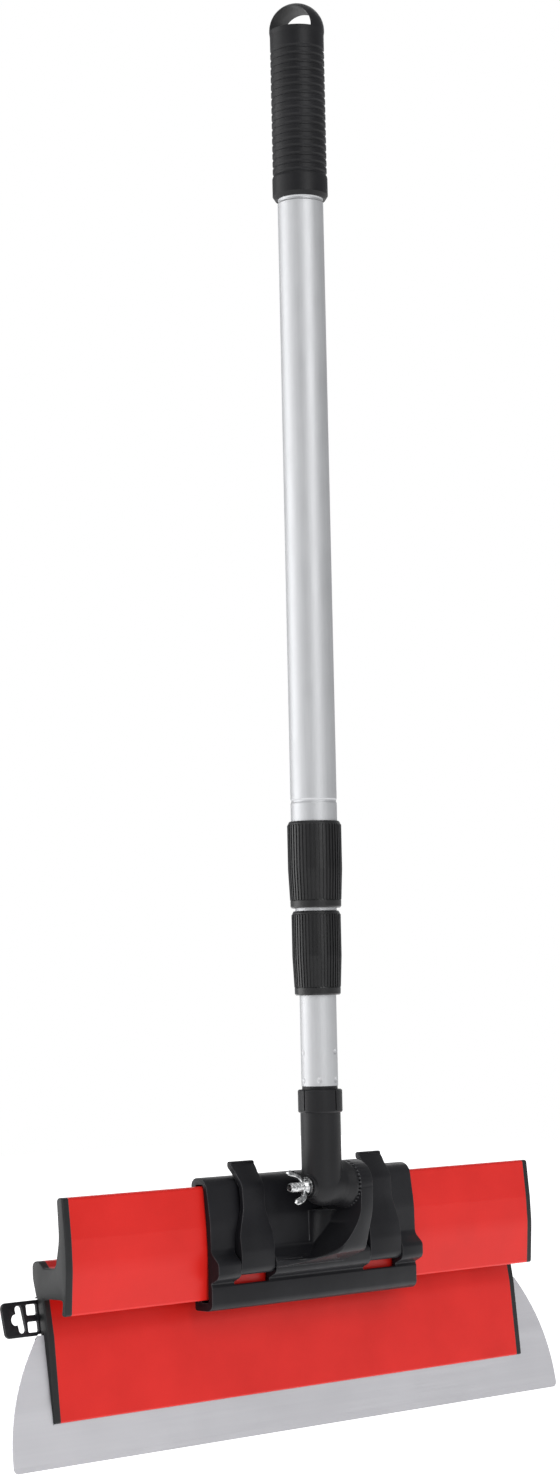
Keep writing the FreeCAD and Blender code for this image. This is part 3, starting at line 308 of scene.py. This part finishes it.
def blade_steel():
    """Stainless sheet with a fine satin grain along the blade and a few stray scratches."""
    g = Graph("blade_steel")
    grain = g.noise(1.0, 4.0, 0.7, g.stretched((14.0, 2600.0, 2600.0)))
    streaks = g.noise(1.0, 3.0, 0.6, g.stretched((5.0, 420.0, 420.0)))
    cloud = g.noise(22.0, 4.0, 0.6)
    scratches = g.noise(1.0, 1.0, 0.4, g.stretched((60.0, 3400.0, 900.0)))
    base = g.ramp(grain, [(0.25, (0.560, 0.555, 0.580)), (0.5, (0.585, 0.580, 0.605)),
                          (0.75, (0.615, 0.610, 0.630))])
    tint = g.ramp(streaks, [(0.35, (0.570, 0.565, 0.590)), (0.65, (0.605, 0.600, 0.620))])
    g.link(g.mixed(0.35, base, tint), g.shader.inputs["Base Color"])
    rough = g.math("ADD", g.spread(grain, -0.05, 0.07), g.spread(cloud, -0.04, 0.05))
    g.link(g.math("ADD", rough, 0.50), g.shader.inputs["Roughness"])
    cuts = g.spread(scratches, 1.0, 0.0, 0.74, 0.78)
    satin = g.bump(grain, 0.004 * MM, 0.8)
    g.link(g.bump(cuts, 0.006 * MM, 0.5, under=satin), g.shader.inputs["Normal"])
    g.set("Metallic", 0.85)
    g.set("Anisotropic", 0.45)
    return g.material


def zinc():
    """Bright zinc plate over a die casting: soft pits and blue-grey blotches, whose dark and bright patches are
    partly the casting's tone and partly painted reflection.
    """
    g = Graph("zinc")
    mottle_and_reflection = g.noise(620.0, 4.0, 0.65)
    pits = g.noise(2400.0, 3.0, 0.6)
    # Painted reflection: this ramp runs from near black to bright grey. It stands in for the metal's dark and
    # bright reflections, laid over the real casting tone.
    base = g.ramp(mottle_and_reflection, [(0.32, (0.09, 0.092, 0.095)), (0.48, (0.34, 0.345, 0.35)),
                           (0.66, (0.74, 0.74, 0.73))])
    g.link(base, g.shader.inputs["Base Color"])
    g.link(g.math("ADD", g.spread(mottle_and_reflection, -0.06, 0.10), 0.22), g.shader.inputs["Roughness"])
    cast = g.bump(mottle_and_reflection, 0.10 * MM, 0.6)
    g.link(g.bump(pits, 0.03 * MM, 0.6, under=cast), g.shader.inputs["Normal"])
    g.set("Metallic", 1.0)
    return g.material


def pin_steel():
    """Plain turned steel with rings from the lathe."""
    g = Graph("pin_steel")
    rings = g.noise(1.0, 2.0, 0.5, g.stretched((5200.0, 60.0, 60.0)))
    base = g.ramp(rings, [(0.3, (0.40, 0.40, 0.41)), (0.7, (0.58, 0.58, 0.58))])
    g.link(base, g.shader.inputs["Base Color"])
    g.link(g.spread(rings, 0.26, 0.40), g.shader.inputs["Roughness"])
    g.link(g.bump(rings, 0.010 * MM, 0.8), g.shader.inputs["Normal"])
    g.set("Metallic", 1.0)
    return g.material


def make_materials():
    """One material for each of the record's material slots."""
    return {
        "grip_plastic": moulded_plastic(
            "grip_plastic", (0.006, 0.006, 0.007), 0.44, 0.40, 0.040, 0.20, 0.08),
        "anodised_tube": anodised_tube(),
        "collar_plastic": moulded_plastic(
            "collar_plastic", (0.0035, 0.0035, 0.004), 0.33, gloss=0.38, edge_highlight_strength=0.05),
        "joint_plastic": moulded_plastic(
            "joint_plastic", (0.0072, 0.0072, 0.0082), 0.42, 0.45, 0.045, 0.22, 0.25),
        "shell_plastic": moulded_plastic(
            "shell_plastic", (0.0065, 0.0065, 0.008), 0.40, gloss=0.20),
        "cap_plastic": moulded_plastic(
            "cap_plastic", (0.010, 0.0105, 0.011), 0.44, 0.36, 0.035, 0.27),
        "inner_plastic": moulded_plastic("inner_plastic", (0.09, 0.09, 0.09), 0.45),
        "red_handle": red_handle(),
        "blade_steel": blade_steel(),
        "zinc": zinc(),
        "pin_steel": pin_steel(),
    }


# ---- mesh helpers ---------------------------------------------------------------------------
def shade(mesh, angle):
    """Smooth shading that stays crisp over sharp edges."""
    for polygon in mesh.polygons:
        polygon.use_smooth = True
    mesh.set_sharp_from_angle(angle=angle)


def linked(name, mesh):
    piece = bpy.data.objects.new(name, mesh)
    bpy.context.scene.collection.objects.link(piece)
    return piece


def flat_faced(node):
    """A CAD piece's shape with its triangles merged into flats."""
    work = bmesh.new()
    work.from_mesh(frame["nodes"][node].data)
    bmesh.ops.remove_doubles(work, verts=work.verts, dist=MERGE)
    bmesh.ops.dissolve_limit(
        work, angle_limit=FLAT_ANGLE, verts=work.verts, edges=work.edges)
    return work


def finished_mesh(work, name, angle=SHARP_ANGLE):
    """Closes the work on a shape and gives its shaded mesh."""
    mesh = bpy.data.meshes.new(name)
    work.to_mesh(mesh)
    work.free()
    shade(mesh, angle)
    return mesh


def rounded_copy(node, width):
    """A CAD piece's mesh with its sharp edges rounded."""
    work = flat_faced(node)
    sharp = [edge for edge in work.edges
             if len(edge.link_faces) == 2 and edge.calc_face_angle(0.0) > SHARP_ANGLE]
    bmesh.ops.bevel(
        work, geom=sharp, offset=width, offset_type="OFFSET", segments=2,
        profile=0.55, affect="EDGES", clamp_overlap=False, loop_slide=True)
    bmesh.ops.recalc_face_normals(work, faces=work.faces)
    return finished_mesh(work, node + "_rounded")


def circle_of_verts(work, x, radius_at, steps):
    """A ring of points about the pivot's axis, with its radius at each step."""
    ring = []
    for index in range(steps):
        angle = index * math.tau / steps
        radius = radius_at(index)
        ring.append(work.verts.new((
            x, PIVOT.y + radius * math.cos(angle), PIVOT.z + radius * math.sin(angle))))
    return ring


def join_rings(work, near, far, turned=False):
    """Faces between two rings of points; turned lists each face's points the other way."""
    for index in range(len(near)):
        following = (index + 1) % len(near)
        corners = (near[index], far[index], far[following], near[following])
        if turned:
            corners = (near[index], near[following], far[following], far[index])
        work.faces.new(corners)


def corner_shift(before, here, after, step_before, step_after):
    """How far a corner of a (y, z) outline moves when its two edges move in by given steps."""
    first = (here - before).normalized()
    second = (after - here).normalized()
    across_first = Vector((-first.y, first.x)) * step_before
    across_second = Vector((-second.y, second.x)) * step_after
    turn = first.x * second.y - first.y * second.x
    if abs(turn) < 0.01:
        return across_first
    along = (across_second - across_first).dot(Vector((-second.y, second.x))) / turn
    shift = across_first + first * along
    return shift * min(1.0, SHIFT_LIMIT / shift.length) if shift.length > 0 else shift


def capped_copy(node, width, steps=4):
    """An end cap's mesh with the rim of its outer face rounded, except along the blade's slot."""
    work = flat_faced(node)
    side = math.copysign(1.0, next(iter(work.verts)).co.x)
    outer = max(side * vert.co.x for vert in work.verts)
    rim = max((face for face in work.faces
               if side * face.calc_center_median().x > outer - FACE_MARGIN),
              key=lambda face: face.calc_area())
    verts = list(rim.verts)
    outline = [Vector((vert.co.y, vert.co.z)) for vert in verts]
    count = len(outline)
    area = sum(outline[i - 1].cross(outline[i]) for i in range(count))
    inward = math.copysign(1.0, area)
    in_slot = [abs(spot.x - spot.y * SLOT_SLOPE) < SLOT_REACH and spot.y < SLOT_TOP
               for spot in outline]
    edge_step = [0.0 if in_slot[i] and in_slot[(i + 1) % count] and
                 (outline[(i + 1) % count] - outline[i]).length > SLOT_MOUTH else inward
                 for i in range(count)]
    shifts = [corner_shift(outline[i - 1], outline[i], outline[(i + 1) % count],
                           edge_step[i - 1], edge_step[i]) for i in range(count)]
    bmesh.ops.delete(work, geom=[rim], context="FACES_ONLY")
    for vert in verts:
        vert.co.x = side * (outer - width)
    ring = verts
    for step in range(1, steps + 1):
        turn = step / steps * math.pi / 2
        inset = width * (1 - math.cos(turn))
        x = side * (outer - width * (1 - math.sin(turn)))
        following = [work.verts.new((x, spot.x + shift.x * inset, spot.y + shift.y * inset))
                     for spot, shift in zip(outline, shifts)]
        join_rings(work, ring, following, turned=True)
        ring = following
    work.faces.new(ring)
    bmesh.ops.recalc_face_normals(work, faces=work.faces)
    return finished_mesh(work, node + "_rounded")


def body_of_node(node):
    groups = frame["record"]["behaviour"]["bodies"]
    return next(body for body, nodes in groups.items() if node in nodes)


def slot_of_node(node):
    return next(part["material_slot"] for part in frame["record"]["subparts"]
                if part["node"] == node)


def stands_for(piece, node, materials):
    """Puts a finer piece in a CAD piece's place, on its body and with its finish."""
    finish = slot_of_node(node)
    piece.data.materials.clear()
    piece.data.materials.append(materials[finish])
    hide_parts(node)
    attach(piece, body_of_node(node))


def revolved(work, profile, steps=64):
    """Adds a surface turned about the pivot's axis, from (x, radius) points.

    Only the first point may lie on the axis."""
    rings = []
    for x, radius in profile:
        if radius == 0.0:
            rings.append([work.verts.new((x, PIVOT.y, PIVOT.z))])
        else:
            rings.append(circle_of_verts(work, x, lambda index: radius, steps))
    for near, far in zip(rings, rings[1:]):
        if len(near) > 1:
            join_rings(work, near, far)
            continue
        for index in range(steps):
            work.faces.new((near[0], far[index], far[(index + 1) % steps]))


# ---- hardware -------------------------------------------------------------------------------
def threaded_bolt(materials):
    """Pivot bolt with a domed head, a plain shank and a real helical thread at its free end."""
    work = bmesh.new()
    head_x = BOLT_HIGH.x
    neck_x = head_x - HEAD_HEIGHT
    head_radius = (BOLT_HIGH.z - BOLT_LOW.z) / 2
    profile = [(head_x, 0.0)]
    for index in range(9):
        turn = index / 8 * math.pi / 2
        profile.append((neck_x + HEAD_EDGE + HEAD_DOME * math.cos(turn),
                        head_radius * (0.35 + 0.65 * math.sin(turn))))
    thread_start = BOLT_LOW.x + THREAD_LENGTH
    profile += [(neck_x, head_radius), (neck_x, THREAD_RADIUS), (thread_start, THREAD_RADIUS)]
    revolved(work, profile)
    steps = 48
    rows = int(THREAD_LENGTH / THREAD_PITCH * 12)
    grid = []
    for row in range(rows + 1):
        along = row / rows * THREAD_LENGTH

        def radius_at(index):
            lead_in = min(1.0, along / THREAD_PITCH)
            tip = max(0.0, (along - (THREAD_LENGTH - THREAD_TIP)) / THREAD_TIP)
            phase = (along / THREAD_PITCH + index / steps) % 1.0
            cut = THREAD_DEPTH * lead_in * (0.5 - 0.5 * math.cos(math.tau * phase)) ** 0.8
            return THREAD_RADIUS - cut * (1.0 - tip) - TIP_CHAMFER * tip

        grid.append(circle_of_verts(work, thread_start - along, radius_at, steps))
    for near, far in zip(grid, grid[1:]):
        join_rings(work, near, far)
    work.faces.new(grid[-1])
    bmesh.ops.remove_doubles(work, verts=work.verts, dist=FINE_MERGE)
    bmesh.ops.recalc_face_normals(work, faces=work.faces)
    mesh = finished_mesh(work, "threaded_bolt", BOLT_SHARP)
    stands_for(linked("threaded_bolt", mesh), "pivot_bolt", materials)


def wing_section(centre, along, half_width, half_thick, steps=20):
    """Rounded outline of a wing, square to its centre line in the X, Z plane."""
    across = Vector((-along.z, 0.0, along.x))
    points = []
    for index in range(steps):
        angle = index * math.tau / steps
        u = math.copysign(abs(math.cos(angle)) ** WING_SQUARE, math.cos(angle))
        v = math.copysign(abs(math.sin(angle)) ** WING_SQUARE, math.sin(angle))
        points.append(centre + across * (u * half_width) + Vector((0.0, v * half_thick, 0.0)))
    return points


def cast_wing(work, base, side):
    """One wing that grows out of the hub, leans away from the elbow and ends in a round tip."""
    a, b, c, d = (Vector((base + out * MM, 0, rise * MM)) for out, rise in WING_ROUTE)
    rows = 18
    rings = []
    for row in range(rows + 1):
        part = row / rows
        spot = (a * (1 - part) ** 3 + b * 3 * part * (1 - part) ** 2
                + c * 3 * part ** 2 * (1 - part) + d * part ** 3)
        along = ((b - a) * (1 - part) ** 2 + (c - b) * 2 * part * (1 - part)
                 + (d - c) * part ** 2).normalized()
        end = max(0.0, (part - WING_ROUND) / (1.0 - WING_ROUND))
        taper = math.sqrt(max(0.0, 1.0 - end ** 2.4))
        half_width = (1.50 + 0.35 * part) * MM * max(taper, 0.08)
        half_thick = (1.45 - 0.45 * part) * MM * max(taper, 0.10)
        ring = []
        for point in wing_section(spot, along, half_width, half_thick):
            ring.append(work.verts.new((
                point.x, PIVOT.y + point.y, PIVOT.z + side * point.z)))
        rings.append(ring)
    for near, far in zip(rings, rings[1:]):
        join_rings(work, near, far, turned=True)
    work.faces.new(rings[0])
    work.faces.new(rings[-1])


def cast_wing_nut(materials):
    """Die-cast wing nut: a conical hub with a chamfered bore mouth and two curved wings."""
    work = bmesh.new()
    base = WASHER_FACE - NUT_GAP
    end = base - NUT_HUB
    hub = [(base, NUT_BORE), (base, 3.5 * MM), (base - 0.3 * MM, 3.8 * MM),
           (base - 0.8 * MM, 3.8 * MM), (base - 1.3 * MM, 3.5 * MM),
           (end + 0.5 * MM, 2.95 * MM), (end + 0.3 * MM, 2.8 * MM),
           (end + 0.3 * MM, NUT_BORE + 0.1 * MM), (end + 0.5 * MM, NUT_BORE), (base, NUT_BORE)]
    revolved(work, hub)
    for side in (1, -1):
        cast_wing(work, base, side)
    bmesh.ops.remove_doubles(work, verts=work.verts, dist=FINE_MERGE)
    bmesh.ops.recalc_face_normals(work, faces=work.faces)
    turn = Matrix.Translation(PIVOT) @ Matrix.Rotation(WING_TURN, 4, "X")
    bmesh.ops.transform(work, matrix=turn @ Matrix.Translation(-PIVOT), verts=work.verts)
    mesh = finished_mesh(work, "cast_wing_nut", NUT_SHARP)
    stands_for(linked("cast_wing_nut", mesh), "wing_nut", materials)


def round_mouldings(materials):
    """Moulded pieces with the small edge radii of the real ones."""
    widths = {
        "adapter_shell": ROUND_MOULDED,
        "latch_left": ROUND_MOULDED,
        "latch_right": ROUND_MOULDED,
        "hang_tab": ROUND_THIN,
    }
    for node in ("end_cap_left", "end_cap_right"):
        piece = linked(node + "_rounded", capped_copy(node, ROUND_CAP))
        stands_for(piece, node, materials)
    for node, width in widths.items():
        piece = linked(node + "_rounded", rounded_copy(node, width))
        stands_for(piece, node, materials)


def finish_cad_pieces(materials):
    """Every CAD piece takes the material of its slot."""
    for node, piece in frame["nodes"].items():
        finish = slot_of_node(node)
        piece.data.materials.clear()
        piece.data.materials.append(materials[finish])


# ---- stage, light and camera ----------------------------------------------------------------
def make_floor(height):
    """Pale matt floor with a barely visible grain."""
    g = Graph("studio_floor")
    cloud = g.noise(1.6, 3.0, 0.5)
    g.link(g.ramp(cloud, [(0.3, (0.88, 0.88, 0.88)), (0.7, (0.92, 0.92, 0.92))]),
           g.shader.inputs["Base Color"])
    g.set("Roughness", 0.9)
    g.set("Specular IOR Level", 0.1)
    g.set("Emission Color", (1.0, 1.0, 1.0, 1.0))
    g.set("Emission Strength", 1.00)
    mesh = bpy.data.meshes.new("floor")
    corners = ((-1, -1), (1, -1), (1, 1), (-1, 1))
    mesh.from_pydata(
        [(x * FLOOR_HALF, y * FLOOR_HALF, height) for x, y in corners], [], [(0, 1, 2, 3)])
    mesh.materials.append(g.material)
    linked("floor", mesh)


def make_world():
    """White surroundings for the eye, and a softer grey dome for light and reflections."""
    world = bpy.data.worlds.new("studio")
    bpy.context.scene.world = world
    world.use_nodes = True
    nodes = world.node_tree.nodes
    links = world.node_tree.links
    nodes.clear()
    seen = nodes.new("ShaderNodeBackground")
    seen.inputs["Color"].default_value = (1.0, 1.0, 1.0, 1.0)
    seen.inputs["Strength"].default_value = 1.0
    dome = nodes.new("ShaderNodeBackground")
    dome.inputs["Color"].default_value = (0.97, 0.98, 1.0, 1.0)
    dome.inputs["Strength"].default_value = 0.42
    path = nodes.new("ShaderNodeLightPath")
    mix = nodes.new("ShaderNodeMixShader")
    out = nodes.new("ShaderNodeOutputWorld")
    links.new(path.outputs["Is Camera Ray"], mix.inputs["Fac"])
    links.new(dome.outputs["Background"], mix.inputs[1])
    links.new(seen.outputs["Background"], mix.inputs[2])
    links.new(mix.outputs["Shader"], out.inputs["Surface"])


def make_softbox(name, azimuth, elevation, distance, size, power, target):
    """Area light that stands at an azimuth, elevation and distance from its target."""
    light = bpy.data.lights.new(name, "AREA")
    light.shape = "RECTANGLE"
    light.size = size[0]
    light.size_y = size[1]
    light.energy = power
    lamp = bpy.data.objects.new(name, light)
    bpy.context.scene.collection.objects.link(lamp)
    turn = math.radians(azimuth)
    rise = math.radians(elevation)
    away = Vector((math.sin(turn) * math.cos(rise), -math.cos(turn) * math.cos(rise),
                   math.sin(rise)))
    lamp.location = target + away * distance
    lamp.rotation_euler = (-away).to_track_quat("-Z", "Y").to_euler()


def make_lights():
    target = (cad_box[0] + cad_box[1]) / 2
    for name, (azimuth, elevation, distance, size, power) in SOFTBOXES.items():
        make_softbox(name, azimuth, elevation, distance, size, power, target)


def make_camera():
    camera = bpy.data.cameras.new("camera")
    camera.lens = CAMERA_LENS
    camera.sensor_width = 36.0
    camera.clip_start = 0.05
    camera.clip_end = 60.0
    view = bpy.data.objects.new("camera", camera)
    bpy.context.scene.collection.objects.link(view)
    forward = CAMERA_FORWARD.normalized()
    right = forward.cross(CAMERA_UP).normalized()
    up = right.cross(forward)
    turn = Matrix((right, up, -forward)).transposed().to_4x4()
    view.matrix_world = Matrix.Translation(CAMERA_PLACE) @ turn
    bpy.context.scene.camera = view


make_camera()
materials = make_materials()
finish_cad_pieces(materials)
round_mouldings(materials)
threaded_bolt(materials)
cast_wing_nut(materials)
make_floor(cad_box[0].z - FLOOR_DROP)
make_world()
make_lights()
bpy.context.scene.view_settings.view_transform = "Standard"
bpy.context.scene.view_settings.look = "None"
